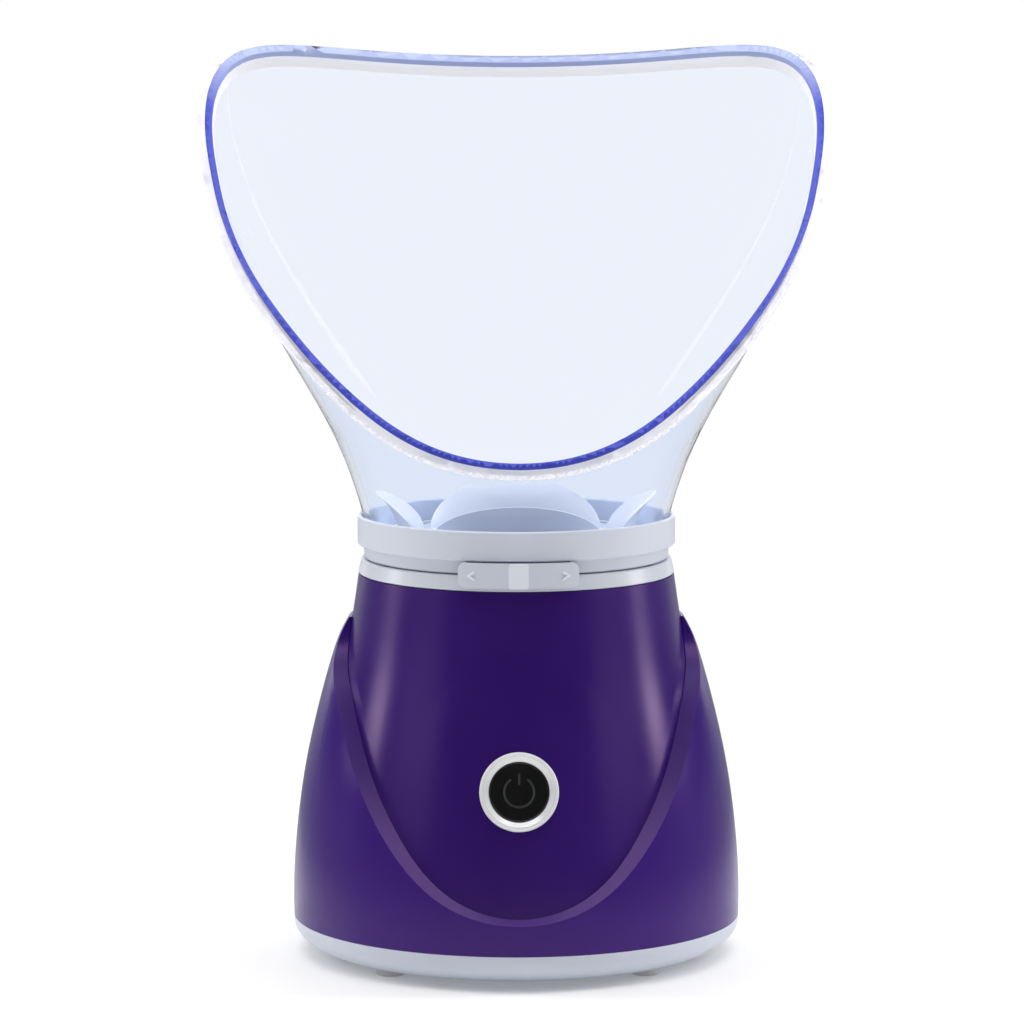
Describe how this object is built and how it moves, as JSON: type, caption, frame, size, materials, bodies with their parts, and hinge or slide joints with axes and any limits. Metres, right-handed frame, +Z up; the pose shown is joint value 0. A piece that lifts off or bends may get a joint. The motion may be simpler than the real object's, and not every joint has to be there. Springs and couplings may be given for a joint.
{
  "type": "facial steamer",
  "caption": "Facial steamer: waisted purple tub with a power button, white steam adapter with petal cap and slide lever, and a wide clear face mask that lifts off.",
  "frame": {"origin": "on the floor, under the axis of the base", "axes": "+Z up, -Y the front with the power button and the open side of the mask, +X the user's right when facing the front"},
  "size_m": [0.1962, 0.1364, 0.2748],
  "materials": {
    "purple_plastic": "satin gloss",
    "white_plastic": "gloss",
    "clear_mask": "clear, faint blue tint",
    "soft_feet": "matt, slightly translucent",
    "silicone": "matt",
    "black_gloss": "gloss",
    "black_plastic": "matt",
    "bezel_metal": "satin",
    "aluminium": "spun",
    "steel": "zinc plated",
    "board": "solder mask",
    "brown_component": "moulded",
    "wire_red": "silicone sleeve"
  },
  "bodies": {
    "base": {"base_cover": "white_plastic", "rubber_feet": "soft_feet", "base_screws": "steel", "housing": "purple_plastic", "tank_seat": "purple_plastic", "outer_shell": "purple_plastic", "cord_gland": "black_plastic", "water_tank": "aluminium", "tank_gasket": "silicone", "heater_plate": "aluminium", "heater_element": "steel", "heater_clamp": "steel", "clamp_screws": "steel", "thermostat": "steel", "thermal_fuse": "brown_component", "circuit_board": "board", "board_screws": "steel", "transformer": "brown_component", "relay": "black_plastic", "capacitor": "black_plastic", "terminal_block": "black_plastic", "heater_leads": "wire_red", "switch_leads": "wire_red", "button_bezel": "bezel_metal", "button_holder": "black_plastic", "switch_board": "board", "tact_switch": "black_plastic", "neck_ring": "white_plastic", "neck_screws": "steel", "neck_seal": "silicone"},
    "power_button": {"button_cap": "black_gloss"},
    "adapter": {"mask_collar": "white_plastic", "steam_cap": "white_plastic"},
    "steam_adjuster": {"adjuster_ring": "white_plastic", "steam_shutter": "white_plastic", "adjuster_lever": "white_plastic"},
    "mask": {"face_mask": "clear_mask"}
  },
  "joints": [
    {"name": "button_press", "type": "slide", "parent": "base", "child": "power_button", "axis": [0, 0.979, -0.204], "range_m": [0, 0.0008], "stiffness_N_per_m": 1500},
    {"name": "adapter_lift", "type": "slide", "parent": "base", "child": "adapter", "axis": [0, 0, 1], "range_m": [0, 0.05]},
    {"name": "lever_turn", "type": "hinge", "parent": "adapter", "child": "steam_adjuster", "pos_m": [0, 0, 0.1236], "axis": [0, 0, 1], "range_deg": [-12, 12]},
    {"name": "mask_lift", "type": "slide", "parent": "adapter", "child": "mask", "axis": [0, 0, 1], "range_m": [0, 0.06]}
  ]
}
